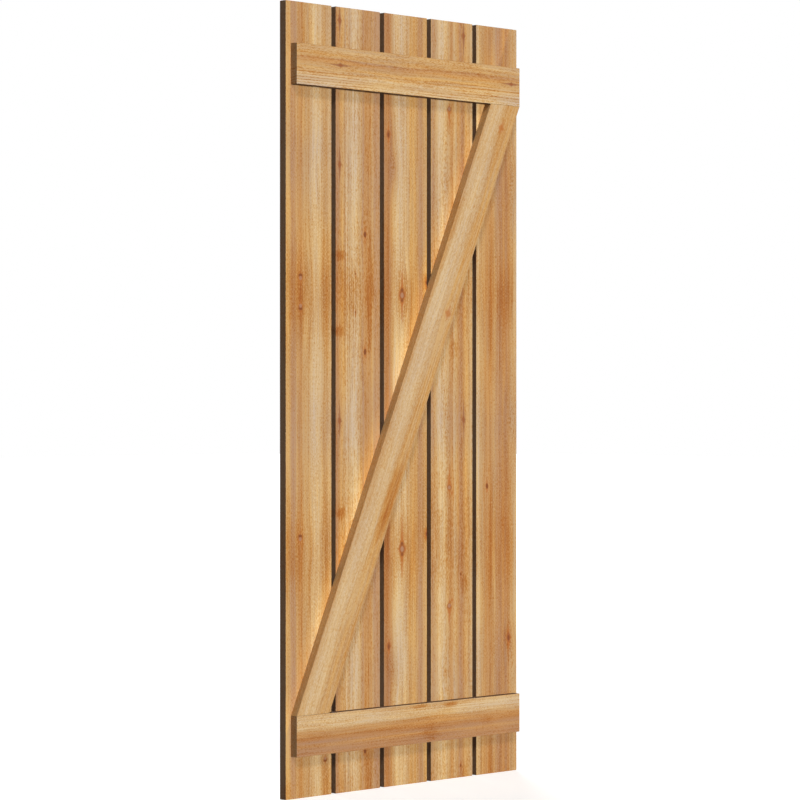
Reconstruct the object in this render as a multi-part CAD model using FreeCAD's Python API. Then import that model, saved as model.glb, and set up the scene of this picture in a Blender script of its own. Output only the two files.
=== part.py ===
"""Board and batten shutter with a diagonal brace, in millimetres.

Upright boards stand side by side with open joints between them. Two battens lie across their
face, one near each end, and a brace runs from the lower batten's left end to the upper batten's
right end, so that the three form a Z. Countersunk screws driven from the back hold them.

X runs across the shutter, Z points up, and the face looks towards -Y. The boards' backs lie in
the plane Y = 0, and the origin is the middle of the shutter on that plane.
"""

import FreeCAD
import Part
import math
import os

# Boards
BOARD_COUNT = 5
BOARD_WIDTH = 136.5
BOARD_GAP = 12.7
BOARD_THICKNESS = 19.0
SHUTTER_HEIGHT = 1727.0

# Battens and brace
BATTEN_WIDTH = 89.0
BATTEN_THICKNESS = 19.0
BATTEN_END_DISTANCE = 92.0
BATTEN_INSET_LEFT = 15.0
BATTEN_INSET_RIGHT = 10.0
BRACE_WIDTH = 89.0

# Chamfer along the long edges of every board, batten and brace
ARRIS = 0.8

# Screws: two at each crossing, at these shares of its width, staggered on the battens
SCREW_SHARES = (0.25, 0.75)
SCREW_STAGGER = 40.0
HEAD_DIAMETER = 8.4
HEAD_ANGLE = 82.0
HEAD_RECESS = 0.4
SHANK_DIAMETER = 4.2
POINT_LENGTH = 5.0
TIP_COVER = 6.0
HOLE_CLEARANCE = 0.1
SOCKET_SIZE = 2.6
SOCKET_DEPTH = 2.0

# Places that follow from the sizes
SHUTTER_WIDTH = BOARD_COUNT * BOARD_WIDTH + (BOARD_COUNT - 1) * BOARD_GAP
SHUTTER_LEFT = -SHUTTER_WIDTH / 2
SHUTTER_RIGHT = SHUTTER_WIDTH / 2
BOARD_FACE = -BOARD_THICKNESS
BATTEN_FACE = BOARD_FACE - BATTEN_THICKNESS
BATTEN_LEFT = SHUTTER_LEFT + BATTEN_INSET_LEFT
BATTEN_RIGHT = SHUTTER_RIGHT - BATTEN_INSET_RIGHT
BATTEN_LENGTH = BATTEN_RIGHT - BATTEN_LEFT
BATTEN_CENTRE = SHUTTER_HEIGHT / 2 - BATTEN_END_DISTANCE - BATTEN_WIDTH / 2
BRACE_TOP = BATTEN_CENTRE - BATTEN_WIDTH / 2
BRACE_BOTTOM = -BRACE_TOP

ACROSS = FreeCAD.Vector(1, 0, 0)
OUT_OF_BACK = FreeCAD.Vector(0, 1, 0)
UP = FreeCAD.Vector(0, 0, 1)


def eased(solid, along):
    """The solid with its edges that run along that direction chamfered."""
    edges = [
        edge for edge in solid.Edges
        if edge.tangentAt(edge.FirstParameter).cross(along).Length < 1e-6
    ]
    return solid.makeChamfer(ARRIS, edges)


def plank(outline, back, thickness):
    """A flat piece with that outline of (x, z) corners, from the plane Y = back towards the face."""
    corners = [FreeCAD.Vector(x, back, z) for x, z in outline]
    face = Part.Face(Part.makePolygon(corners + corners[:1]))
    return face.extrude(-thickness * OUT_OF_BACK)


def rectangle(left, right, bottom, top):
    return [(left, bottom), (right, bottom), (right, top), (left, top)]


# Boards

def board_sides(index):
    """Left and right side of a board, counted from the left."""
    left = SHUTTER_LEFT + index * (BOARD_WIDTH + BOARD_GAP)
    return left, left + BOARD_WIDTH


def make_board(index):
    left, right = board_sides(index)
    outline = rectangle(left, right, -SHUTTER_HEIGHT / 2, SHUTTER_HEIGHT / 2)
    return eased(plank(outline, 0, BOARD_THICKNESS), UP)


# Battens and brace

def make_batten(centre):
    half = BATTEN_WIDTH / 2
    outline = rectangle(BATTEN_LEFT, BATTEN_RIGHT, centre - half, centre + half)
    return eased(plank(outline, BOARD_FACE, BATTEN_THICKNESS), ACROSS)


def brace_cut():
    """Length of the level cut at each end of the brace.

    The brace fills the height between the battens, and its cut ends reach to the battens' ends:
    cut = BRACE_WIDTH * sqrt(height^2 + (length - cut)^2) / height, solved for the cut.
    """
    height = BRACE_TOP - BRACE_BOTTOM
    slant = math.sqrt(height**2 + BATTEN_LENGTH**2 - BRACE_WIDTH**2)
    return BRACE_WIDTH * (height * slant - BRACE_WIDTH * BATTEN_LENGTH) / (height**2 - BRACE_WIDTH**2)


def make_brace():
    cut = brace_cut()
    outline = [
        (BATTEN_LEFT, BRACE_BOTTOM),
        (BATTEN_LEFT + cut, BRACE_BOTTOM),
        (BATTEN_RIGHT, BRACE_TOP),
        (BATTEN_RIGHT - cut, BRACE_TOP),
    ]
    along = FreeCAD.Vector(BATTEN_LENGTH - cut, 0, BRACE_TOP - BRACE_BOTTOM).normalize()
    return eased(plank(outline, BOARD_FACE, BATTEN_THICKNESS), along)


# Screws

def crossing_points(left_end, right_end):
    """X of the screws where a piece between those ends crosses each board."""
    points = []
    for index in range(BOARD_COUNT):
        left, right = board_sides(index)
        left = max(left, left_end)
        right = min(right, right_end)
        points += [left + share * (right - left) for share in SCREW_SHARES]
    return points


def batten_screw_places(centre):
    """Screw places in a batten, high and low in turn."""
    offsets = (SCREW_STAGGER / 2, -SCREW_STAGGER / 2)
    return [
        (x, centre + offsets[count % 2])
        for count, x in enumerate(crossing_points(BATTEN_LEFT, BATTEN_RIGHT))
    ]


def brace_screw_places():
    """Screw places on the brace's centre line."""
    half_cut = brace_cut() / 2
    start = BATTEN_LEFT + half_cut
    end = BATTEN_RIGHT - half_cut
    rise = (BRACE_TOP - BRACE_BOTTOM) / (end - start)
    return [(x, BRACE_BOTTOM + (x - start) * rise) for x in crossing_points(start, end)]


def turned(profile, place):
    """A solid of revolution about a line along Y through that (x, z) place."""
    corners = [FreeCAD.Vector(radius, y, 0) for radius, y in profile]
    face = Part.Face(Part.makePolygon(corners + corners[:1]))
    solid = face.revolve(FreeCAD.Vector(), OUT_OF_BACK, 360)
    x, z = place
    return solid.translate(FreeCAD.Vector(x, 0, z))


HEAD_RADIUS = HEAD_DIAMETER / 2
SHANK_RADIUS = SHANK_DIAMETER / 2
HEAD_SLOPE = math.tan(math.radians(HEAD_ANGLE / 2))
HEAD_TOP = -HEAD_RECESS
TIP = BATTEN_FACE + TIP_COVER


def head_depth(radius):
    """Y at which the countersunk cone has that radius."""
    return HEAD_TOP - (HEAD_RADIUS - radius) / HEAD_SLOPE


def make_screw(place):
    profile = [
        (0, HEAD_TOP),
        (HEAD_RADIUS, HEAD_TOP),
        (SHANK_RADIUS, head_depth(SHANK_RADIUS)),
        (SHANK_RADIUS, TIP + POINT_LENGTH),
        (0, TIP),
    ]
    x, z = place
    corner = FreeCAD.Vector(x - SOCKET_SIZE / 2, HEAD_TOP - SOCKET_DEPTH, z - SOCKET_SIZE / 2)
    socket = Part.makeBox(SOCKET_SIZE, SOCKET_DEPTH, SOCKET_SIZE, corner)
    return turned(profile, place).cut(socket)


def make_screw_hole(place):
    """The countersunk hole that a screw fills, open at the boards' backs."""
    hole_radius = SHANK_RADIUS + HOLE_CLEARANCE
    mouth_radius = HEAD_RADIUS + HEAD_RECESS * HEAD_SLOPE
    profile = [
        (0, 0),
        (mouth_radius, 0),
        (hole_radius, head_depth(hole_radius)),
        (hole_radius, TIP - HOLE_CLEARANCE),
        (0, TIP - HOLE_CLEARANCE),
    ]
    return turned(profile, place)


def drilled(solid, places):
    return solid.cut([make_screw_hole(place) for place in places])


# Assembly

def make_parts():
    """Every named piece of the shutter."""
    screw_places = {
        "top_batten": batten_screw_places(BATTEN_CENTRE),
        "bottom_batten": batten_screw_places(-BATTEN_CENTRE),
        "brace": brace_screw_places(),
    }
    all_places = sum(screw_places.values(), [])
    parts = {
        "top_batten": drilled(make_batten(BATTEN_CENTRE), screw_places["top_batten"]),
        "bottom_batten": drilled(make_batten(-BATTEN_CENTRE), screw_places["bottom_batten"]),
        "brace": drilled(make_brace(), screw_places["brace"]),
    }
    for index in range(BOARD_COUNT):
        left, right = board_sides(index)
        places = [place for place in all_places if left < place[0] < right]
        parts[f"board_{index + 1}"] = drilled(make_board(index), places)
    for name, places in screw_places.items():
        parts[f"{name}_screws"] = Part.makeCompound([make_screw(place) for place in places])
    return parts


os.makedirs("parts", exist_ok=True)
for name, shape in make_parts().items():
    shape.exportStep(f"parts/{name}.step")
    print(f"{name}: {len(shape.Solids)} solids, {shape.Volume / 1e6:.4f} litres, valid {shape.isValid()}")
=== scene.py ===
"""Looks for the board and batten shutter: knotty cedar, zinc plated screws, studio and camera."""

import math

import bmesh
import bpy
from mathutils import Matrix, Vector, noise


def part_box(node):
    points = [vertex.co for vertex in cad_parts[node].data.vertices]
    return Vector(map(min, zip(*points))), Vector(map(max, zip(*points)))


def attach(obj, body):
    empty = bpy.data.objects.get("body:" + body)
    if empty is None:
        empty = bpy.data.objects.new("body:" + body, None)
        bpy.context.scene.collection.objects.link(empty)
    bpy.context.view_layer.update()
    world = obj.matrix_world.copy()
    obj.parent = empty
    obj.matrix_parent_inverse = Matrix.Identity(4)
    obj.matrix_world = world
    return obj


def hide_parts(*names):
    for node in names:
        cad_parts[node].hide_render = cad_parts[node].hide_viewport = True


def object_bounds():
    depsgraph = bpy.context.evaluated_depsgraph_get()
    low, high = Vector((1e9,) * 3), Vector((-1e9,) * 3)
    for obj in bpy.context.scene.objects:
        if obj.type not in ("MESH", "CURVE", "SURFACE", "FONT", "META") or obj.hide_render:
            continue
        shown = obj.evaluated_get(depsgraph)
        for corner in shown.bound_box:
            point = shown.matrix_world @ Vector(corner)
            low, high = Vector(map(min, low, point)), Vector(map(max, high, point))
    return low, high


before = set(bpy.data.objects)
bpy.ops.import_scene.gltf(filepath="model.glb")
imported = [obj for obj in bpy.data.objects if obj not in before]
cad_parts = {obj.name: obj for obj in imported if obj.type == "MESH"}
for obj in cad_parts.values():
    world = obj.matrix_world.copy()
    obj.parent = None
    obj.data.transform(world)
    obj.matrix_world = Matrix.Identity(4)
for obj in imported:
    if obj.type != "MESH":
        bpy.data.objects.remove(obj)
cad_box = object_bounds()

# Millimetres in a metre
MM = 1000

# How far apart in the noise two planks lie
SEED_STEP = 37.0

# The solids: sizes in metres, and the shares of a crossing's width at which its two screws are
BOARD_COUNT = 5
BRACE_WIDTH = 0.089
SCREW_STAGGER = 0.040
SCREW_SHARES = (0.25, 0.75)

# Rings of a screw and of its hole: radius, millimetres from the boards' backs, how square from 0 to 1
RING_POINTS = 32
SCREW_PROFILE = [
    (0.3, -2.9, 1.0), (1.2, -2.4, 1.0), (1.3, -0.75, 1.0), (1.5, -0.42, 0.9), (2.3, -0.36, 0.0),
    (3.6, -0.40, 0.0), (4.05, -0.46, 0.0), (4.2, -0.62, 0.0), (2.1, -2.9, 0.0), (2.1, -27.0, 0.0),
    (0.2, -32.0, 0.0),
]
HOLE_PROFILE = [(5.47, 1.0, 0.0), (2.2, -2.76, 0.0), (2.2, -6.0, 0.0)]

# Eased arrises, depth of the raised grain and grid spacing across, through and along, in millimetres
LEAST_EASED = 0.3
MOST_EASED = 0.8
RELIEF = 0.22
GRID_STEPS = (2.6, 4.8, 13.0)

# Share of the easing at which the grid has one more line, so that an arris turns in even steps
ARRIS_LINE = 0.586

# Degrees between two faces from which the edge between them is sharp
SHARP_ANGLE = 34.0

# Noise in the meshes: scales across and along the grain, and shares of the relief
WEAR_SCALES = (0.02, 0.012)
RIDGE_SCALES = (0.21, 0.006)
WAVE_SCALES = (0.05, 0.004)
RIDGE_SHARE = 0.3
WAVE_SHARE = 0.2

# Cedar tones, as 8-bit sRGB
TONES = {
    "pale": (216, 182, 133),
    "straw": (208, 169, 117),
    "honey": (210, 163, 99),
    "tan": (201, 157, 102),
    "rose": (189, 143, 98),
    "amber": (196, 144, 86),
    "russet": (185, 128, 72),
    "clay": (183, 133, 87),
}

# Each plank's tones across its width, in millimetres from its left or upper side
BANDS = {
    "board_1": [
        (0, "honey"), (10, "honey"), (17, "rose"), (28, "rose"), (33, "tan"), (40, "amber"),
        (46, "amber"), (54, "tan"), (68, "tan"), (74, "straw"), (81, "pale"), (97, "pale"),
        (108, "straw"), (114, "tan"), (122, "tan"), (128, "straw"),
    ],
    "board_2": [
        (0, "clay"), (6, "clay"), (12, "amber"), (21, "honey"), (28, "tan"), (33, "pale"), (39, "straw"),
        (45, "straw"), (52, "pale"), (64, "pale"), (72, "straw"), (78, "tan"), (83, "rose"), (88, "amber"),
        (101, "amber"), (108, "amber"), (113, "tan"), (119, "rose"), (136, "rose"),
    ],
    "board_3": [
        (0, "clay"), (10, "russet"), (17, "clay"), (22, "amber"), (26, "tan"), (30, "straw"), (35, "pale"),
        (67, "pale"), (76, "straw"), (82, "honey"), (97, "honey"), (105, "tan"), (112, "rose"),
        (120, "rose"), (125, "tan"), (132, "honey"),
    ],
    "board_4": [
        (0, "tan"), (6, "rose"), (15, "tan"), (22, "straw"), (28, "pale"), (46, "pale"), (53, "straw"),
        (60, "tan"), (65, "amber"), (70, "amber"), (77, "straw"), (84, "tan"), (90, "amber"), (96, "rose"),
        (102, "clay"), (108, "amber"), (114, "honey"), (126, "tan"), (131, "straw"),
    ],
    "board_5": [
        (0, "straw"), (7, "pale"), (13, "tan"), (22, "tan"), (30, "amber"), (44, "amber"), (53, "amber"),
        (61, "tan"), (69, "rose"), (77, "rose"), (84, "clay"), (92, "amber"), (100, "clay"),
        (109, "amber"), (117, "tan"), (124, "tan"), (130, "straw"),
    ],
    "top_batten": [
        (0, "tan"), (10, "straw"), (17, "tan"), (24, "tan"), (28, "rose"), (34, "amber"), (43, "tan"),
        (48, "honey"), (54, "straw"), (59, "honey"), (64, "pale"), (67, "pale"), (72, "straw"),
        (77, "straw"), (83, "pale"), (89, "pale"),
    ],
    "bottom_batten": [
        (0, "straw"), (8, "pale"), (22, "pale"), (28, "pale"), (33, "tan"), (40, "amber"), (47, "amber"),
        (53, "russet"), (61, "clay"), (68, "amber"), (74, "clay"), (83, "clay"),
    ],
    "brace": [
        (0, "tan"), (8, "straw"), (16, "pale"), (40, "pale"), (56, "straw"), (65, "honey"),
        (73, "straw"), (80, "honey"), (87, "tan"),
    ],
}

# Knots: kind, millimetres from the left or upper side, millimetres along the grain, size, below 0 for
# one that is turned end for end
KNOTS = {
    "board_1": [
        ("hook", 44, 597, 4.2), ("hook", 44, 661, -4.2), ("hook", 43, 1163, 4.2), ("hook", 118, 1648, -3.4),
    ],
    "board_2": [
        ("spike", 12, 30, 4.5), ("spike", 12, 346, 4.5), ("spike", 12, 910, 4.5), ("pin", 90, 497, 4.2),
        ("pin", 90, 757, 4.2), ("pin", 90, 1640, 4.2), ("pin", 60, 585, 1.6), ("pin", 60, 670, 1.6),
    ],
    "board_3": [
        ("eye", 57, 628, 6.0), ("eye", 57, 1197, 6.2), ("ember", 14, 270, 4.5), ("ember", 15, 1413, 4.5),
        ("ember", 135, 598, 2.4), ("ember", 135, 1166, 2.4),
    ],
    "board_4": [
        ("drop", 60, 201, -4.2), ("drop", 60, 1062, 4.6), ("drop", 60, 1333, -4.6),
        ("blush", 69, 1075, 2.6), ("blush", 69, 1320, 2.6), ("spike", 107, 30, 4.5),
        ("spike", 107, 908, 4.5), ("pin", 98, 1262, 2.4), ("pin", 98, 1700, 2.4),
    ],
    "board_5": [("pin", 36, 1062, 4.0), ("ember", 109, 1415, 5.2)],
    "top_batten": [("spike", 39, 131, 3.6), ("spike", 39, 680, 3.6)],
    "bottom_batten": [],
    "brace": [("blush", 69, 994, 5.5), ("blush", 54, 1461, 5.5)],
}

# What each kind of knot is drawn with: half width, half length and shift along in units of its size,
# roundness, strength, tone
KNOT_KINDS = {
    "eye": [
        (1.1, 13.0, 0.0, 0.9, 0.8, "flame"), (2.2, 4.4, 0.0, 1.1, 0.85, "flame"),
        (1.5, 2.5, 0.0, 1.6, 0.75, "ember"), (0.8, 0.8, -1.9, 1.3, 0.6, "bark"),
        (0.8, 0.8, 2.1, 1.3, 0.6, "bark"), (0.85, 1.1, 0.1, 1.7, 0.8, "heart"),
    ],
    "hook": [
        (0.34, 16.0, 0.0, 0.8, 0.75, "ember"), (2.1, 4.0, 0.0, 1.0, 0.55, "flame"),
        (1.7, 1.7, -0.5, 1.6, 0.75, "ember"), (1.4, 0.7, -1.1, 1.8, 0.75, "bark"),
        (1.1, 1.1, 0.5, 1.6, 0.65, "heart"),
    ],
    "drop": [
        (0.9, 9.0, -3.0, 0.9, 0.75, "flame"), (2.1, 3.6, -0.8, 1.1, 0.7, "flame"),
        (1.6, 1.5, 0.1, 1.7, 0.6, "ember"), (1.1, 1.0, 0.2, 1.7, 0.7, "heart"),
    ],
    "ember": [
        (2.2, 5.0, 0.0, 0.9, 0.6, "flame"), (0.7, 7.0, 1.0, 0.9, 0.7, "flame"),
        (1.3, 2.4, 0.0, 1.3, 0.9, "ember"), (0.65, 1.3, 0.3, 1.6, 0.75, "bark"),
    ],
    "blush": [(2.1, 3.6, 0.0, 0.9, 0.5, "flame"), (1.6, 1.5, 0.0, 1.3, 0.5, "flame")],
    "pin": [(1.9, 6.5, 0.0, 0.7, 0.75, "flame"), (0.95, 1.7, 0.0, 1.8, 0.9, "bark")],
    "spike": [
        (1.2, 12.0, 0.0, 0.75, 0.9, "plum"), (1.8, 2.2, 0.0, 0.9, 0.8, "plum"),
        (0.8, 1.8, 0.0, 1.5, 0.75, "ember"),
    ],
}

KNOT_TONES = {
    "flame": (184, 110, 50),
    "ember": (155, 89, 46),
    "heart": (178, 136, 105),
    "bark": (124, 66, 32),
    "plum": (158, 104, 68),
}

# Between which distances from its middle a knot fades, a distance that keeps its middle off 0, and how
# ragged its outline is
KNOT_FADE = (1.25, 0.65)
ABOVE_ZERO = 1e-4
RAGGED = 0.5
RAGGED_SCALES = (0.25, 0.25, 0.12)
RAGGED_DETAIL = 3.0
RAGGED_ROUGHNESS = 0.6

# How the grain parts round a knot: by which share of the distance from it, and how fast that fades
# across and along, for a knot of size 1
PARTED_SHARE = 0.6
PARTED_ACROSS = 0.35
PARTED_ALONG = 0.11

# Stains and painted light: millimetres across and along, half width, half length, darkness, below 0 for a
# pale place
STAINS_AND_PAINTED_LIGHT = {
    "board_1": [
        (35, 630, 26, 120, 0.8), (43, 630, 1.5, 48, 1.3), (122, 628, 13, 150, 0.8),
        (122, 1155, 13, 130, 1.0), (35, 1190, 25, 90, 0.5), (122, 1690, 13, 60, 1.0),
        # On board_1 the pale places 7 mm across, by the battens' left ends, are painted bounce light
        (90, 330, 18, 100, -0.2), (90, 910, 18, 100, -0.2), (7, 135, 8, 42, -0.8), (7, 1590, 8, 42, -0.8),
        (8, 1180, 9, 150, 0.6), (8, 1715, 10, 30, 0.8), (8, 735, 8, 60, 0.5),
    ],
    "board_2": [
        (14, 546, 15, 13, 2.2), (12, 712, 15, 14, 2.3), (14, 1112, 15, 13, 2.2), (22, 630, 18, 75, 0.8),
        (106, 625, 9, 140, 2.0), (104, 1690, 10, 80, 1.6), (60, 630, 20, 60, 0.8), (58, 330, 18, 110, -0.3),
        (58, 900, 18, 110, -0.3), (3, 960, 6, 60, 1.2), (105, 300, 10, 120, 0.6), (58, 1450, 16, 80, -0.6),
        (42, 245, 13, 90, -0.8), (42, 890, 13, 140, -0.6), (24, 1715, 14, 40, 0.6),
    ],
    "board_3": [
        (6, 630, 10, 190, 0.9), (6, 1150, 10, 100, 0.8), (16, 310, 15, 60, 0.4), (18, 1465, 15, 50, 0.5),
        (84, 628, 14, 60, 0.5), (84, 1197, 14, 60, 0.5), (133, 598, 8, 18, 1.6), (133, 1166, 8, 18, 1.6),
        (45, 480, 11, 90, -0.5), (45, 760, 11, 80, -0.5), (48, 1340, 12, 90, -0.5), (56, 628, 20, 60, 0.8),
        (56, 1180, 20, 70, 1.0), (80, 1440, 18, 60, -0.7), (28, 1260, 12, 70, 0.7), (6, 1505, 8, 60, -0.6),
    ],
    "board_4": [
        (62, 1198, 14, 115, 0.7), (95, 1190, 20, 110, 0.4), (108, 1284, 10, 20, 1.3),
        (108, 1716, 10, 20, 1.2), (58, 226, 10, 26, 1.3), (72, 745, 12, 26, 1.3), (62, 665, 8, 20, 1.3),
        (32, 1092, 12, 20, -0.9), (32, 1308, 12, 20, -0.9), (98, 300, 5, 140, 0.6), (98, 940, 5, 180, 0.5),
        (122, 1120, 12, 80, 0.8), (75, 1505, 24, 60, -0.7), (88, 915, 12, 90, -0.5),
        (118, 35, 14, 50, -0.6), (72, 35, 12, 40, -0.6),
    ],
    "board_5": [
        (48, 630, 8, 170, 1.0), (46, 1190, 10, 150, 0.7), (48, 1700, 8, 70, 1.2), (95, 625, 22, 60, 0.8),
        (96, 1205, 26, 75, 0.4), (130, 590, 6, 190, -0.8), (130, 1200, 6, 170, -0.8), (6, 620, 6, 70, 0.3),
        (104, 1415, 10, 30, 1.3), (100, 700, 22, 300, 0.35), (100, 1200, 22, 250, 0.35),
        (6, 1330, 9, 110, -0.8), (12, 1015, 14, 60, -0.7), (121, 570, 9, 80, 0.6), (121, 1435, 9, 50, 0.6),
    ],
    "top_batten": [
        (20, 540, 12, 130, 0.6), (14, 40, 12, 60, 0.8), (70, 120, 14, 60, -0.5), (77, 60, 9, 90, -0.6),
        (68, 665, 18, 45, -0.7), (49, 75, 9, 70, -0.5), (7, 525, 8, 60, 0.6),
    ],
    "bottom_batten": [
        (6, 378, 4, 24, 1.8), (8, 478, 5, 22, 2.0), (68, 410, 15, 26, 1.2), (55, 600, 11, 20, 0.8),
        (48, 70, 5, 45, 1.0), (48, 300, 4, 200, 0.7), (33, 450, 4, 220, 0.5), (12, 620, 9, 60, -0.5),
        (66, 425, 18, 80, 0.5), (35, 650, 10, 60, -0.6), (28, 245, 14, 60, -0.5), (21, 525, 10, 40, -0.5),
    ],
    "brace": [
        (68, 480, 10, 40, 2.0), (70, 555, 14, 62, 2.6), (6, 1150, 9, 160, 0.8), (60, 1400, 14, 70, 0.6),
        (63, 310, 11, 80, -0.8), (63, 960, 10, 120, -0.7), (78, 495, 9, 40, 0.8), (6, 1305, 9, 60, -0.6),
    ],
}
STAIN_STRENGTH = 1.15
STAIN_UNEVENNESS = 2.4

# Darker and paler lengths that all the boards share, with ends frayed over so many millimetres
BOARDS_STAINS = [
    (68, 630, 500, 72, 0.68), (68, 1205, 500, 104, 0.68), (68, 1720, 500, 55, 0.4),
    (68, 930, 500, 95, -0.23),
]
FRAYED_LENGTH = 190.0

# Where the grain bows aside: millimetres across and along, half width, half length, millimetres aside
BOWS = {
    "board_1": [
        (74, 630, 14, 90, -8), (74, 1185, 14, 60, -5), (108, 630, 10, 120, 5), (108, 1190, 10, 90, 5),
        (92, 346, 12, 70, 6), (92, 910, 12, 70, 6),
    ],
    "board_2": [(58, 630, 16, 80, -4), (50, 346, 14, 80, 3), (50, 910, 14, 80, 3)],
    "board_3": [
        (38, 346, 12, 55, -12), (38, 1475, 12, 50, -10), (38, 820, 10, 50, 5), (76, 628, 10, 60, -4),
    ],
    "board_4": [
        (40, 346, 12, 70, 8), (40, 910, 12, 70, 8), (40, 1475, 12, 60, 8), (18, 1197, 10, 60, -6),
        (50, 1197, 10, 130, 2),
    ],
    "board_5": [
        (130, 345, 12, 70, -12), (130, 910, 12, 60, -12), (130, 1460, 12, 60, -12), (16, 630, 12, 80, 5),
    ],
    "top_batten": [(44, 330, 14, 60, -4), (20, 560, 12, 80, 4)],
    "bottom_batten": [(30, 140, 10, 60, -5), (30, 640, 10, 60, 4), (30, 420, 8, 70, 3)],
    "brace": [(30, 250, 16, 90, 6), (30, 900, 16, 120, 5), (60, 1250, 12, 100, -4)],
}

# Single growth lines: millimetres across, half width, darkness, below 0 for a pale line
LINES = {
    "board_1": [(46, 1.2, 1.4), (69, 1.4, 0.8), (104, 1.6, -0.8)],
    "board_2": [
        (29, 1.4, 0.9), (41, 1.0, 1.3), (52, 1.0, 1.3), (57, 1.0, 0.9), (86, 1.0, -1.4), (92, 1.4, 1.0),
        (99, 1.2, 1.6),
    ],
    "board_3": [(13, 1.4, 1.2), (71, 1.2, 1.3), (82, 1.8, 0.9), (106, 1.2, 1.0)],
    "board_4": [(43, 1.2, 0.8), (72, 1.6, 0.9), (99, 2.2, 0.6), (123, 1.2, 1.0)],
    "board_5": [(38, 1.6, -1.2), (47, 1.5, 1.2), (78, 1.8, 1.3), (109, 1.4, 1.0)],
    "top_batten": [(28, 2.0, 1.0), (56, 1.2, 1.0)],
    "bottom_batten": [(36, 1.4, 0.6), (50, 1.6, 0.6)],
    "brace": [(53, 0.8, 1.0), (58, 0.9, 1.4), (65, 0.8, 1.3), (73, 0.9, 1.6), (81, 0.9, 1.3)],
}

# Growth rings: where the pith lies across and behind the face, ring spacing, and between which
# millimetres across they show
RINGS = {
    "board_1": (-90, 60, 4.4, 70, 140),
    "board_2": (-70, 40, 4.6, 26, 80),
    "board_3": (230, 70, 4.4, 34, 110),
    "board_4": (-110, 30, 4.4, 15, 60),
    "board_5": (240, 50, 4.4, 0, 140),
    "top_batten": (-60, 30, 6.2, 52, 95),
    "bottom_batten": (170, 50, 5.0, -5, 40),
    "brace": (-80, 60, 6.5, 48, 95),
}
RING_STRENGTH = {
    "board_1": 0.45, "board_2": 1.0, "board_3": 0.7, "board_4": 0.45, "board_5": 0.4,
    "top_batten": 1.3, "bottom_batten": 0.5, "brace": 0.6,
}

# How far rings wander, in rings, over how many millimetres they fade out, between which shares of a
# ring its late wood begins and ends, and how dark late and early wood are
RING_WANDER = 1.6
RING_FADE = 6
LATE_BEGINS = (0.45, 0.88)
LATE_ENDS = (1.0, 0.92)
LATE_DARKNESS = 2.6
EARLY_DARKNESS = -0.3

# Colours of a plank's saw-cut edges and of its ends, and how far a surface turns before it has them.
# The edges' darkness is partly the wood's own colour and partly painted shade, most of all on board_1
# and the battens
SHADED_EDGE_COLOR = {
    "board_1": (104, 79, 55), "top_batten": (92, 66, 43), "bottom_batten": (92, 66, 43),
    "brace": (182, 144, 96),
}
DEFAULT_SHADED_EDGE_COLOR = (112, 86, 62)
END_COLOR = (144, 111, 76)
EDGE_TURN = (0.3, 0.7)
END_TURN = (0.5, 0.9)

# Noise drawn out along the grain: scales across and along, detail, roughness
GRAIN_NOISE = {
    "wander": (0.012, 0.0028, 2.0, 0.5),
    "ring_wander": (0.03, 0.002, 2.0, 0.5),
    "ring_patches": (0.045, 0.006, 2.0, 0.5),
    "drift": (0.03, 0.004, 3.0, 0.5),
    "streaks": (0.24, 0.0045, 4.0, 0.6),
    "fibres": (1.3, 0.035, 4.0, 0.65),
    "speckle": (0.75, 0.19, 2.0, 0.6),
    "pits": (0.5, 0.11, 2.0, 0.5),
    "frayed_ends": (0.12, 0.002, 2.0, 0.5),
    "stain_outlines": (0.14, 0.03, 3.0, 0.5),
    "line_breaks": (0.02, 0.008, 2.0, 0.5),
    "warm_drift": (0.02, 0.005, 2.0, 0.5),
    "warm_streaks": (0.16, 0.006, 3.0, 0.5),
}

# Millimetres that the grain wanders aside
GRAIN_WANDER = 9.0

# What each noise adds to the grain's darkness and warmth, and what pits of the sawn face add
DARKNESS = {"drift": 2.2, "streaks": 5.2, "fibres": 3.8, "speckle": 9.8}
WARMTH = {"warm_drift": 4.2, "warm_streaks": 4.8, "speckle": 1.2}
PIT_DARKNESS = 3.2

# Ranges of noise from which pits are cut, and over which rings and lines come and go, with their strength
PIT_RANGE = (0.15, 0.24)
RING_PATCHES = (-0.12, 0.18, 0.25, 1.0)
LINE_BREAKS = (-0.15, 0.12, 0.15, 1.0)

# How strongly the grain shows, how dark it is on the whole, and the least darkness, softly kept
GRAIN_CONTRAST = {"brace": 0.58}
GRAIN_MEAN = {
    "brace": 0.27, "top_batten": 0.16, "bottom_batten": 0.22, "board_2": -0.03, "board_4": -0.06,
    "board_5": -0.05,
}
DEFAULT_GRAIN_MEAN = 0.05
LEAST_DARKNESS = -0.45
LEAST_SOFTNESS = 0.6

# What one step of grain darkness, and one step of warmth, does to red, green and blue
GRAIN_TINT = (0.899, 0.771, 0.597)
WARM_TINT = (1.070, 1.054, 0.950)

# Where a plank turns ashen: millimetres across and along, half width, half length, strength, below 0
# for a warmer place
BOARDS_ASHEN = [
    (68, 30, 500, 60, 0.8), (68, 346, 500, 85, 0.8), (68, 910, 500, 85, 0.9), (68, 1480, 500, 75, 0.8),
]
ASHEN = {
    "board_5": BOARDS_ASHEN + [(85, 20, 40, 90, 1.0), (80, 1490, 50, 80, 0.7)],
    "top_batten": [
        (72, 50, 26, 130, 1.4), (76, 690, 24, 70, 1.7), (30, 60, 22, 120, -0.6), (40, 380, 60, 190, -0.2),
    ],
    "bottom_batten": [(45, 0, 500, 110, 0.7), (45, 708, 500, 60, 0.9), (72, 360, 22, 500, 0.4)],
    "brace": [(45, 750, 500, 2000, 0.6)],
}

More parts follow.
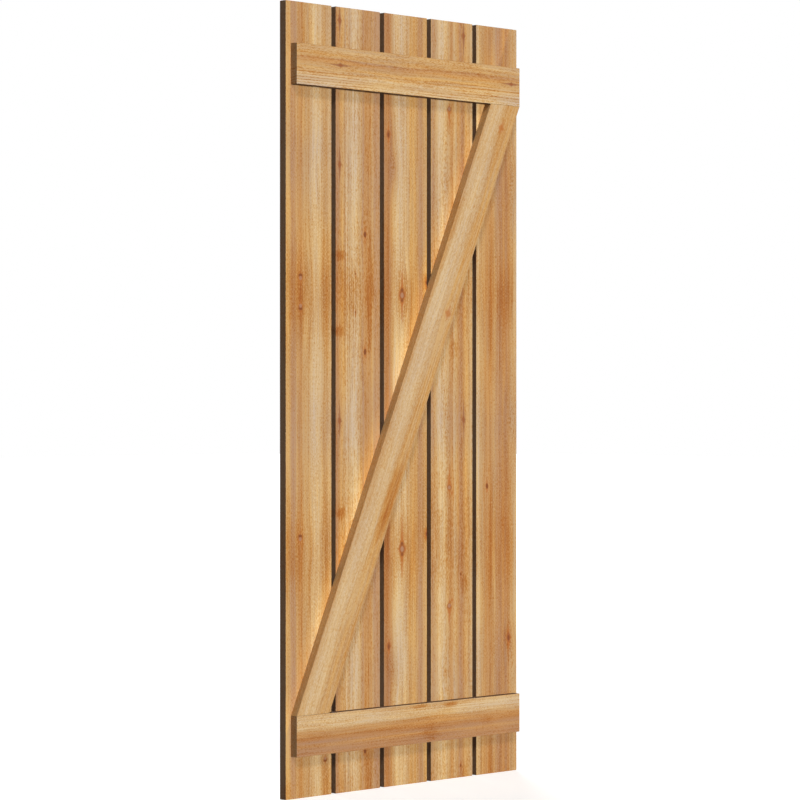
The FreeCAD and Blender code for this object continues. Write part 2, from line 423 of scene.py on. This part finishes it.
# Painted bounce light from the brace: the boards' faces are painted lighter and warmer next to the
# brace's left side: millimetres that this reaches next to and under the brace, and into the board
PAINTED_LIGHT_REACH = 48.0
PAINTED_LIGHT_UNDER_BRACE = 8.0
PAINTED_LIGHT_DEPTHS = (3.0, 1.0)
PAINTED_LIGHT_TINT = (1.22, 1.20, 1.06)

# Surface of the wood: heights in the bump, its strength and depth in metres, roughness and gloss
LATE_HEIGHT = 0.6
FIBRE_HEIGHT = 0.8
SPECKLE_HEIGHT = -0.8
BUMP_STRENGTH = 0.5
BUMP_DISTANCE = 0.0003
WOOD_ROUGHNESS = (-0.2, 0.3, 0.58, 0.78)
WOOD_SPECULAR = 0.22

# Zinc plate of the screws, clouded
ZINC_DARK = (0.26, 0.24, 0.20, 1)
ZINC_LIGHT = (0.42, 0.40, 0.35, 1)
ZINC_SCALES = (900, 900, 900)
ZINC_DETAIL = 3.0
ZINC_ROUGHNESS = (0.3, 0.7, 0.32, 0.48)

# Floor: its size in metres, its colour for light and for what is seen, and between which metres from
# the middle its glow grows, from which strength to which
FLOOR_SIZE = 60
FLOOR_PLAIN = (0.25, 0.25, 0.25, 1)
FLOOR_PALE = (0.8, 0.8, 0.8, 1)
FLOOR_GLOW = (2.0, 6.0, 0.58, 0.9)

# World: its colour, and the strength of its light from all around
WHITE = (1, 1, 1, 1)
AMBIENT = 0.07

# Lamps: name, direction towards it, spread in degrees, share of plain light
LAMPS = [
    ("key", (-0.07, -1.0, 0.065), 6, 0.685),
    ("side", (-19.9, -19, 25.8), 10, 0.379),
    ("back", (3.0, 4.6, 2.2), 25, 1.05),
]

# Camera: place in metres, turn in degrees, lens and sensor in millimetres
CAMERA_PLACE = (-4.679, -4.680, 0.0)
CAMERA_TURN = (90, 0, -45)
CAMERA_LENS = 132.345
CAMERA_SENSOR = 36.0


def linear(rgb):
    """Scene-linear colour of an 8-bit sRGB one."""
    def channel(value):
        value /= 255
        return value / 12.92 if value <= 0.04045 else ((value + 0.055) / 1.055) ** 2.4
    return tuple(channel(value) for value in rgb) + (1.0,)


class Tree:
    """Short calls that add nodes to a node tree. An argument is a socket or a constant."""

    def __init__(self, tree):
        self.tree = tree
        tree.nodes.clear()

    def feed(self, socket, value):
        if isinstance(value, bpy.types.NodeSocket):
            self.tree.links.new(value, socket)
        else:
            socket.default_value = value

    def node(self, kind, *inputs, **settings):
        made = self.tree.nodes.new(kind)
        for name, value in settings.items():
            setattr(made, name, value)
        for socket, value in zip(made.inputs, inputs):
            self.feed(socket, value)
        return made

    def math(self, operation, *inputs):
        return self.node("ShaderNodeMath", *inputs, operation=operation).outputs[0]

    def vector(self, operation, *inputs):
        made = self.node("ShaderNodeVectorMath", *inputs, operation=operation)
        scalar = operation in ("DOT_PRODUCT", "LENGTH")
        return made.outputs["Value" if scalar else "Vector"]

    def combine(self, x, y, z):
        return self.node("ShaderNodeCombineXYZ", x, y, z).outputs[0]

    def tint(self, color, tint, steps):
        """The colour times that many steps of the tint."""
        steps = self.combine(steps, steps, steps)
        return self.vector("MULTIPLY", color, self.vector("POWER", tint, steps))

    def noise(self, position, detail, roughness=0.5, color=False):
        made = self.node("ShaderNodeTexNoise", position)
        made.inputs["Scale"].default_value = 1.0
        made.inputs["Detail"].default_value = detail
        made.inputs["Roughness"].default_value = roughness
        return made.outputs["Color" if color else "Fac"]

    def span(self, value, low, high, to_low=0.0, to_high=1.0):
        """The value taken smoothly from one range to another."""
        made = self.node("ShaderNodeMapRange", value, low, high, to_low, to_high)
        made.interpolation_type = "SMOOTHSTEP"
        return made.outputs[0]

    def hump(self, value):
        """1 at 0 and falling smoothly as the value grows."""
        return self.math("EXPONENT", self.math("MULTIPLY", value, -1.0))

    def distance(self, position, across, along, half_width, half_length):
        """Square of the distance from a place, in units of those half sizes."""
        offset = self.vector("SUBTRACT", position, (across, 0, along))
        offset = self.vector("MULTIPLY", offset, (1 / half_width, 0, 1 / half_length))
        return self.vector("DOT_PRODUCT", offset, offset)

    def patch(self, position, across, along, half_width, half_length):
        """1 at a place and falling smoothly around it."""
        return self.hump(self.distance(position, across, along, half_width, half_length))

    def mix(self, factor, first, second):
        made = self.node("ShaderNodeMix", data_type="RGBA")
        self.feed(made.inputs[0], factor)
        self.feed(made.inputs[6], first)
        self.feed(made.inputs[7], second)
        return made.outputs[2]

    def ramp(self, factor, stops):
        made = self.node("ShaderNodeValToRGB", factor)
        elements = made.color_ramp.elements
        while len(elements) < len(stops):
            elements.new(0.5)
        for element, (place, color) in zip(elements, stops):
            element.position = place
            element.color = color
        return made.outputs[0]

    def seen(self):
        """1 for what the camera sees, also in metal or through glass, and 0 for light."""
        path = self.node("ShaderNodeLightPath").outputs
        seen = self.math("MAXIMUM", path["Is Camera Ray"], path["Is Glossy Ray"])
        return self.math("MAXIMUM", seen, path["Is Transmission Ray"])

    def surface(self, shader, kind="ShaderNodeOutputMaterial"):
        """The shader as what the tree gives."""
        self.feed(self.node(kind).inputs["Surface"], shader)


def new_material(name):
    material = bpy.data.materials.new(name)
    material.use_nodes = True
    return material, Tree(material.node_tree)


# Places of the planks and screws

class Plank:
    """Where a plank lies: the origin is the corner of its face from which its measures are taken.

    The width, thickness and length are in millimetres. The lean is how far the plank's ends run along the
    grain for each step across. The shift gives each plank its own part of the noise.
    """

    def __init__(self, name, origin, across, grain, width, length, lean=0.0):
        low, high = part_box(name)
        seed = SEED_STEP * list(BANDS).index(name)
        self.name = name
        self.is_board = name.startswith("board")
        self.origin = Vector(origin)
        self.across = Vector(across)
        self.grain = Vector(grain)
        self.width = width * MM
        self.thickness = (high[1] - low[1]) * MM
        self.length = length * MM
        self.lean = lean
        self.shift = Vector((seed, 2 * seed, 3 * seed))

    def point(self, across, depth, along):
        """The place in metres of a point measured in millimetres."""
        along += self.lean * across
        place = self.origin + self.across * (across / MM) + self.grain * (along / MM)
        return place + Vector((0, depth / MM, 0))


def upright(name):
    low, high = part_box(name)
    corner = (low[0], low[1], high[2])
    return Plank(name, corner, (1, 0, 0), (0, 0, -1), high[0] - low[0], high[2] - low[2])


def level(name):
    low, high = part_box(name)
    corner = (low[0], low[1], high[2])
    return Plank(name, corner, (0, 0, -1), (1, 0, 0), high[2] - low[2], high[0] - low[0])


def slanting_cut(name, width):
    """Level width of the cuts at the ends of a slanting plank."""
    low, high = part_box(name)
    length = high[0] - low[0]
    height = high[2] - low[2]
    slant = math.sqrt(height**2 + length**2 - width**2)
    return width * (height * slant - width * length) / (height**2 - width**2)


def slanting(name, width):
    """A plank with level cuts at its ends that rises to the right."""
    low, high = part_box(name)
    run = Vector((high[0] - low[0] - slanting_cut(name, width), 0, high[2] - low[2]))
    grain = run.normalized()
    across = Vector((grain.z, 0, -grain.x))
    return Plank(name, low, across, grain, width, run.length, grain.x / grain.z)


def crossings(left_end, right_end):
    """X of the screws where a plank between those ends crosses each board."""
    for number in range(1, BOARD_COUNT + 1):
        low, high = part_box(f"board_{number}")
        left = max(low[0], left_end)
        right = min(high[0], right_end)
        for share in SCREW_SHARES:
            yield left + share * (right - left)


def batten_screws(name):
    """(x, z) of a batten's screws, high and low in turn."""
    low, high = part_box(name)
    middle = (low[2] + high[2]) / 2
    offsets = (SCREW_STAGGER / 2, -SCREW_STAGGER / 2)
    return [(x, middle + offsets[count % 2]) for count, x in enumerate(crossings(low[0], high[0]))]


def brace_screws():
    """(x, z) of the screws on the brace's centre line."""
    low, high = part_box("brace")
    half_cut = slanting_cut("brace", BRACE_WIDTH) / 2
    start = low[0] + half_cut
    end = high[0] - half_cut
    rise = (high[2] - low[2]) / (end - start)
    return [(x, low[2] + (x - start) * rise) for x in crossings(start, end)]


# Meshes

def grid_lines(size, step):
    """Places of the grid lines along one side of a plank, closer together where its arrises are eased."""
    near = [0.0, ARRIS_LINE * MOST_EASED]
    inner = size - 2 * MOST_EASED
    count = max(2, round(inner / step))
    middle = [MOST_EASED + inner * index / count for index in range(count + 1)]
    return near + middle + [size - place for place in reversed(near)]


def stretched_noise(spot, across_scale, along_scale):
    """Noise at a spot, drawn out along the grain."""
    return noise.noise(Vector((spot.x * across_scale, spot.y * across_scale, spot.z * along_scale)))


def worn_point(plank, size, place):
    """A point of a plain block moved to the plank's surface, with eased arrises and raised grain."""
    spot = Vector(place) + plank.shift
    worn = 0.5 + 0.5 * stretched_noise(spot, *WEAR_SCALES)
    eased = LEAST_EASED + (MOST_EASED - LEAST_EASED) * worn
    inner = Vector([min(max(value, eased), side - eased) for value, side in zip(place, size)])
    outward = (Vector(place) - inner).normalized()
    ridges = stretched_noise(spot, *RIDGE_SCALES)
    waves = stretched_noise(spot, *WAVE_SCALES)
    sunk = RELIEF * (0.5 + RIDGE_SHARE * ridges + WAVE_SHARE * waves)
    return inner + outward * (eased - sunk)


def smooth_mesh(name, points, faces):
    """A mesh with all its faces smooth and turned outwards."""
    mesh = bpy.data.meshes.new(name)
    mesh.from_pydata(points, [], faces)
    shape = bmesh.new()
    shape.from_mesh(mesh)
    bmesh.ops.recalc_face_normals(shape, faces=shape.faces)
    for face in shape.faces:
        face.smooth = True
    shape.to_mesh(mesh)
    shape.free()
    return mesh


def block_mesh(name, plank):
    """A closed mesh of the plank."""
    size = (plank.width, plank.thickness, plank.length)
    lines = [grid_lines(side, step) for side, step in zip(size, GRID_STEPS)]
    last = [len(places) - 1 for places in lines]
    numbers = {}
    points = []

    def vertex(index):
        if index not in numbers:
            numbers[index] = len(points)
            place = [places[number] for places, number in zip(lines, index)]
            points.append(plank.point(*worn_point(plank, size, place)))
        return numbers[index]

    def face(first, second, end, i, j):
        corners = []
        for step_i, step_j in ((0, 0), (1, 0), (1, 1), (0, 1)):
            index = [end, end, end]
            index[first] = i + step_i
            index[second] = j + step_j
            corners.append(vertex(tuple(index)))
        return corners

    faces = []
    for fixed in range(3):
        first, second = [axis for axis in range(3) if axis != fixed]
        for end in (0, last[fixed]):
            for i in range(last[first]):
                faces += [face(first, second, end, i, j) for j in range(last[second])]
    return smooth_mesh(name, points, faces)


def ring_mesh(name, profile, places):
    """Turned solids about lines along Y through those (x, z) places."""
    points = []
    faces = []
    for x, z in places:
        start = len(points)
        for radius, y, square in profile:
            for count in range(RING_POINTS):
                angle = 2 * math.pi * count / RING_POINTS
                side = max(abs(math.cos(angle)), abs(math.sin(angle)))
                reach = radius * (1 + square * (1 / side - 1)) / MM
                points.append((x + reach * math.cos(angle), y / MM, z + reach * math.sin(angle)))
        for ring in range(len(profile) - 1):
            low = start + ring * RING_POINTS
            high = low + RING_POINTS
            for count in range(RING_POINTS):
                after = (count + 1) % RING_POINTS
                faces.append((low + count, low + after, high + after, high + count))
        faces.append([start + count for count in reversed(range(RING_POINTS))])
        faces.append([len(points) - RING_POINTS + count for count in range(RING_POINTS)])
    return smooth_mesh(name, points, faces)


def countersunk(mesh, places):
    """The mesh with a countersunk hole at each of the places in the back."""
    block = bpy.data.objects.new("block", mesh)
    tool = bpy.data.objects.new("tool", ring_mesh("tool", HOLE_PROFILE, places))
    for made in (block, tool):
        bpy.context.scene.collection.objects.link(made)
    cut = block.modifiers.new("holes", "BOOLEAN")
    cut.operation = "DIFFERENCE"
    cut.solver = "EXACT"
    cut.object = tool
    drilled = block.evaluated_get(bpy.context.evaluated_depsgraph_get())
    result = bpy.data.meshes.new_from_object(drilled)
    result.name = mesh.name + "_drilled"
    for made in (block, tool):
        bpy.data.objects.remove(made)
    return result


def add_piece(name, mesh, material, node):
    """A piece of the shutter that stands for that solid."""
    mesh.set_sharp_from_angle(angle=math.radians(SHARP_ANGLE))
    mesh.materials.append(material)
    piece = bpy.data.objects.new(name, mesh)
    bpy.context.scene.collection.objects.link(piece)
    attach(piece, "root")
    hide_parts(node)


# Materials

class Cedar:
    """Procedural knotty cedar that follows a plank's grain through its whole thickness."""

    def __init__(self, plank, brace):
        self.plank = plank
        self.contrast = GRAIN_CONTRAST.get(plank.name, 1.0)
        self.material, self.tree = new_material(f"cedar_{plank.name}")
        self.drawn = {}
        self.measure()
        self.bend()
        self.late = self.late_wood()
        dark = self.darkness()
        color = self.tree.tint(self.bands(), GRAIN_TINT, dark)
        color = self.tree.tint(color, WARM_TINT, self.warmth())
        # Painted bounce light on the boards' faces next to the brace
        if plank.is_board:
            color = self.tree.tint(color, PAINTED_LIGHT_TINT, self.painted_light_by_brace(brace))
        color = self.knots(color)
        # Edges darkened partly as painted shade
        self.finish(self.sawn_and_shaded(color, dark))

    def measure(self):
        """Millimetres across the plank, into it from the face, and along the grain."""
        tree = self.tree
        self.place = tree.node("ShaderNodeTexCoord").outputs["Object"]
        position = tree.vector("SUBTRACT", self.place, self.plank.origin)
        self.across = tree.vector("DOT_PRODUCT", position, self.plank.across * MM)
        self.depth = tree.vector("DOT_PRODUCT", position, (0, MM, 0))
        self.along = tree.vector("DOT_PRODUCT", position, self.plank.grain * MM)
        self.plain = tree.combine(self.across, self.depth, self.along)
        self.shifted = tree.vector("ADD", self.plain, self.plank.shift)

    def bend(self):
        """Grain that wanders a little, parts round the knots and bows aside."""
        tree = self.tree
        bent = tree.math("MULTIPLY_ADD", self.draw("wander", self.shifted), GRAIN_WANDER, self.across)
        for _, across, along, size in KNOTS[self.plank.name]:
            near = tree.patch(self.plain, across, along, size / PARTED_ACROSS, size / PARTED_ALONG)
            aside = tree.math("MULTIPLY", tree.math("SUBTRACT", self.across, across), -PARTED_SHARE)
            bent = tree.math("MULTIPLY_ADD", near, aside, bent)
        for *place, aside in BOWS[self.plank.name]:
            bent = tree.math("MULTIPLY_ADD", tree.patch(self.plain, *place), aside, bent)
        self.bent = bent
        self.grained = tree.vector("ADD", tree.combine(bent, self.depth, self.along), self.plank.shift)

    def draw(self, name, position):
        """One of the noises at a position, with a mean of 0."""
        across_scale, along_scale, detail, roughness = GRAIN_NOISE[name]
        scaled = self.tree.vector("MULTIPLY", position, (across_scale, across_scale, along_scale))
        return self.tree.math("SUBTRACT", self.tree.noise(scaled, detail, roughness), 0.5)

    def grain(self, name):
        """One of the noises along the bent grain, drawn once."""
        if name not in self.drawn:
            self.drawn[name] = self.draw(name, self.grained)
        return self.drawn[name]

    def late_wood(self):
        """Late wood of the growth rings, from 0 to 1."""
        tree = self.tree
        pith_across, pith_depth, pitch, first, last = RINGS[self.plank.name]
        from_pith = tree.combine(self.bent, self.depth, 0.0)
        radius = tree.vector("LENGTH", tree.vector("SUBTRACT", from_pith, (pith_across, pith_depth, 0)))
        phase = tree.math("DIVIDE", radius, pitch)
        phase = tree.math("MULTIPLY_ADD", self.grain("ring_wander"), RING_WANDER, phase)
        phase = tree.math("FRACT", phase)
        late = tree.math("MULTIPLY", tree.span(phase, *LATE_BEGINS), tree.span(phase, *LATE_ENDS))
        after_first = tree.span(self.bent, first - RING_FADE, first + RING_FADE)
        before_last = tree.span(self.bent, last + RING_FADE, last - RING_FADE)
        shown = tree.math("MULTIPLY", after_first, before_last)
        patchy = tree.span(self.grain("ring_patches"), *RING_PATCHES)
        return tree.math("MULTIPLY", late, tree.math("MULTIPLY", patchy, shown))

    def darkness(self):
        """Darkness of the grain: rings, drift, streaks, fibres, speckle, pits, stains and lines."""
        tree = self.tree
        strength = RING_STRENGTH[self.plank.name]
        dark = tree.math("MULTIPLY_ADD", self.late, LATE_DARKNESS * strength, EARLY_DARKNESS * strength)
        for name, weight in DARKNESS.items():
            dark = tree.math("MULTIPLY_ADD", self.grain(name), weight, dark)
        pits = tree.span(self.grain("pits"), *PIT_RANGE)
        dark = tree.math("MULTIPLY_ADD", pits, PIT_DARKNESS, dark)
        dark = self.lined(self.stained_and_painted_light(dark))
        mean = GRAIN_MEAN.get(self.plank.name, DEFAULT_GRAIN_MEAN)
        dark = tree.math("MULTIPLY_ADD", dark, self.contrast, mean)
        return tree.math("SMOOTH_MAX", dark, LEAST_DARKNESS, LEAST_SOFTNESS)

    def stained_and_painted_light(self, dark):
        """The darkness with the stains that all the boards share and the plank's own, two of which are
        painted light.
        """
        tree = self.tree
        if self.plank.is_board:
            frayed = tree.math("MULTIPLY_ADD", self.grain("frayed_ends"), FRAYED_LENGTH, self.along)
            frayed = tree.combine(self.across, self.depth, frayed)
            for *place, strength in BOARDS_STAINS:
                dark = tree.math("MULTIPLY_ADD", tree.patch(frayed, *place), strength, dark)
        uneven = tree.math("MULTIPLY_ADD", self.grain("stain_outlines"), STAIN_UNEVENNESS, 1.0)
        for *place, strength in STAINS_AND_PAINTED_LIGHT[self.plank.name]:
            distance = tree.math("MULTIPLY", tree.distance(self.plain, *place), uneven)
            stain = tree.hump(tree.math("MULTIPLY", distance, distance))
            dark = tree.math("MULTIPLY_ADD", stain, STAIN_STRENGTH * strength, dark)
        return dark

    def lined(self, dark):
        """The darkness with single growth lines that come and go."""
        tree = self.tree
        broken = tree.span(self.grain("line_breaks"), *LINE_BREAKS)
        for across, half_width, strength in LINES[self.plank.name]:
            offset = tree.math("DIVIDE", tree.math("SUBTRACT", self.bent, across), half_width)
            line = tree.math("MULTIPLY", tree.hump(tree.math("MULTIPLY", offset, offset)), broken)
            dark = tree.math("MULTIPLY_ADD", line, strength, dark)
        return dark

    def warmth(self):
        """Warm and ashen places."""
        tree = self.tree
        warm = 0.0
        for name, weight in WARMTH.items():
            warm = tree.math("MULTIPLY_ADD", self.grain(name), weight, warm)
        warm = tree.math("MULTIPLY", warm, self.contrast)
        for *place, strength in ASHEN.get(self.plank.name, BOARDS_ASHEN):
            warm = tree.math("MULTIPLY_ADD", tree.patch(self.plain, *place), -strength, warm)
        return warm

    def painted_light_by_brace(self, brace):
        """Painted bounce light: 1 on a board's face at the brace's left side, falling to 0 away from it."""
        tree = self.tree
        painted_light_by_brace = tree.vector("SUBTRACT", self.place, brace.origin)
        painted_light_by_brace = tree.vector("DOT_PRODUCT", painted_light_by_brace, brace.across * -MM)
        near = tree.span(painted_light_by_brace, PAINTED_LIGHT_REACH, 0.0)
        near = tree.math("MULTIPLY", near, tree.span(painted_light_by_brace, -PAINTED_LIGHT_UNDER_BRACE, 0.0))
        return tree.math("MULTIPLY", near, tree.span(self.depth, *PAINTED_LIGHT_DEPTHS))

    def bands(self):
        """Broad bands of sapwood and heartwood."""
        width = self.plank.width
        stops = [(place / width, linear(TONES[tone])) for place, tone in BANDS[self.plank.name]]
        return self.tree.ramp(self.tree.math("DIVIDE", self.bent, width), stops)

    def knots(self, color):
        """The colour with the plank's knots drawn over it."""
        tree = self.tree
        ragged = tree.vector("MULTIPLY", self.shifted, RAGGED_SCALES)
        ragged = tree.noise(ragged, RAGGED_DETAIL, RAGGED_ROUGHNESS, color=True)
        ragged = tree.vector("SUBTRACT", ragged, (0.5, 0.5, 0.5))
        ragged = tree.vector("MULTIPLY", ragged, (RAGGED, 0, RAGGED))
        for kind, across, along, size in KNOTS[self.plank.name]:
            offset = tree.vector("SUBTRACT", self.plain, (across, 0, along))
            for half_width, half_length, shift, roundness, strength, tone in KNOT_KINDS[kind]:
                scales = (1 / (half_width * size), 0, 1 / (half_length * size))
                scaled = tree.vector("MULTIPLY", offset, scales)
                scaled = tree.vector("SUBTRACT", scaled, (0, 0, shift / half_length))
                scaled = tree.vector("ABSOLUTE", tree.vector("ADD", scaled, ragged))
                scaled = tree.vector("ADD", scaled, (ABOVE_ZERO, 0, ABOVE_ZERO))
                scaled = tree.vector("POWER", scaled, (roundness, 1, roundness))
                distance = tree.vector("DOT_PRODUCT", scaled, (1, 0, 1))
                factor = tree.span(distance, *KNOT_FADE, 0.0, strength)
                color = tree.mix(factor, color, linear(KNOT_TONES[tone]))
        return color

    def sawn_and_shaded(self, color, dark):
        """The colour with darker saw-cut edges, partly painted shade, and darker end grain."""
        tree = self.tree
        normal = tree.node("ShaderNodeNewGeometry").outputs["Normal"]
        # Edge colour: partly the wood's own, partly painted shade
        shaded_edge_color = SHADED_EDGE_COLOR.get(self.plank.name, DEFAULT_SHADED_EDGE_COLOR)
        for direction, turn, sawn_and_shaded_color in (
            (self.plank.across, EDGE_TURN, shaded_edge_color),
            (self.plank.grain, END_TURN, END_COLOR),
        ):
            facing = tree.math("ABSOLUTE", tree.vector("DOT_PRODUCT", normal, direction))
            sawn_and_shaded = tree.tint(linear(sawn_and_shaded_color)[:3], GRAIN_TINT, dark)
            color = tree.mix(tree.span(facing, *turn), color, sawn_and_shaded)
        return color

    def finish(self, color):
        """The wood's shader, with bump and roughness from its grain."""
        tree = self.tree
        fibres = self.grain("fibres")
        height = tree.math("MULTIPLY", fibres, FIBRE_HEIGHT)
        height = tree.math("MULTIPLY_ADD", self.late, LATE_HEIGHT, height)
        height = tree.math("MULTIPLY_ADD", self.grain("speckle"), SPECKLE_HEIGHT, height)
        bump = tree.node("ShaderNodeBump")
        bump.inputs["Strength"].default_value = BUMP_STRENGTH
        bump.inputs["Distance"].default_value = BUMP_DISTANCE
        tree.feed(bump.inputs["Height"], height)
        shader = tree.node("ShaderNodeBsdfPrincipled")
        tree.feed(shader.inputs["Base Color"], color)
        tree.feed(shader.inputs["Roughness"], tree.span(fibres, *WOOD_ROUGHNESS))
        tree.feed(shader.inputs["Normal"], bump.outputs[0])
        shader.inputs["Specular IOR Level"].default_value = WOOD_SPECULAR
        tree.surface(shader.outputs[0])


def screw_metal():
    material, tree = new_material("zinc_plate")
    position = tree.node("ShaderNodeTexCoord").outputs["Object"]
    clouds = tree.noise(tree.vector("MULTIPLY", position, ZINC_SCALES), ZINC_DETAIL)
    shader = tree.node("ShaderNodeBsdfPrincipled")
    tree.feed(shader.inputs["Base Color"], tree.mix(clouds, ZINC_DARK, ZINC_LIGHT))
    tree.feed(shader.inputs["Roughness"], tree.span(clouds, *ZINC_ROUGHNESS))
    shader.inputs["Metallic"].default_value = 1.0
    tree.surface(shader.outputs[0])
    return material


# Studio

def make_floor(height):
    bpy.ops.mesh.primitive_plane_add(size=FLOOR_SIZE, location=(0, 0, height))
    floor = bpy.context.object
    floor.name = "floor"
    material, tree = new_material("pale_floor")
    plain = tree.node("ShaderNodeBsdfDiffuse", FLOOR_PLAIN).outputs[0]
    pale = tree.node("ShaderNodeBsdfDiffuse", FLOOR_PALE).outputs[0]
    away = tree.vector("LENGTH", tree.node("ShaderNodeTexCoord").outputs["Object"])
    glow = tree.node("ShaderNodeEmission", WHITE, tree.span(away, *FLOOR_GLOW)).outputs[0]
    white = tree.node("ShaderNodeAddShader", pale, glow).outputs[0]
    tree.surface(tree.node("ShaderNodeMixShader", tree.seen(), plain, white).outputs[0])
    floor.data.materials.append(material)


def make_world():
    """White where it is seen, and a little light from all around."""
    world = bpy.data.worlds.new("studio")
    bpy.context.scene.world = world
    world.use_nodes = True
    tree = Tree(world.node_tree)
    strength = tree.span(tree.seen(), 0.0, 1.0, AMBIENT, 1.0)
    background = tree.node("ShaderNodeBackground", WHITE, strength)
    tree.surface(background.outputs[0], "ShaderNodeOutputWorld")


def add_lamp(name, towards, spread, share):
    """A far soft lamp in that direction."""
    data = bpy.data.lights.new(name, "SUN")
    data.angle = math.radians(spread)
    data.energy = share * math.pi
    lamp = bpy.data.objects.new(name, data)
    lamp.rotation_euler = Vector(towards).to_track_quat("Z", "Y").to_euler()
    bpy.context.scene.collection.objects.link(lamp)


def add_camera():
    data = bpy.data.cameras.new("camera")
    data.sensor_width = CAMERA_SENSOR
    data.lens = CAMERA_LENS
    camera = bpy.data.objects.new("camera", data)
    camera.location = CAMERA_PLACE
    camera.rotation_euler = [math.radians(turn) for turn in CAMERA_TURN]
    bpy.context.scene.collection.objects.link(camera)
    bpy.context.scene.camera = camera


# Making

screws = {name: batten_screws(name) for name in ("top_batten", "bottom_batten")}
screws["brace"] = brace_screws()
all_screws = sum(screws.values(), [])

boards = [upright(f"board_{number}") for number in range(1, BOARD_COUNT + 1)]
brace = slanting("brace", BRACE_WIDTH)
for plank in boards:
    low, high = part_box(plank.name)
    places = [place for place in all_screws if low[0] < place[0] < high[0]]
    mesh = countersunk(block_mesh(f"{plank.name}_wood", plank), places)
    add_piece(f"{plank.name}_wood", mesh, Cedar(plank, brace).material, plank.name)
for plank in (level("top_batten"), level("bottom_batten"), brace):
    mesh = block_mesh(f"{plank.name}_wood", plank)
    add_piece(f"{plank.name}_wood", mesh, Cedar(plank, brace).material, plank.name)
metal = screw_metal()
for name, places in screws.items():
    mesh = ring_mesh(f"{name}_turned_screws", SCREW_PROFILE, places)
    add_piece(f"{name}_turned_screws", mesh, metal, f"{name}_screws")

make_floor(cad_box[0][2])
make_world()
for lamp in LAMPS:
    add_lamp(*lamp)
add_camera()
bpy.context.scene.view_settings.view_transform = "Standard"
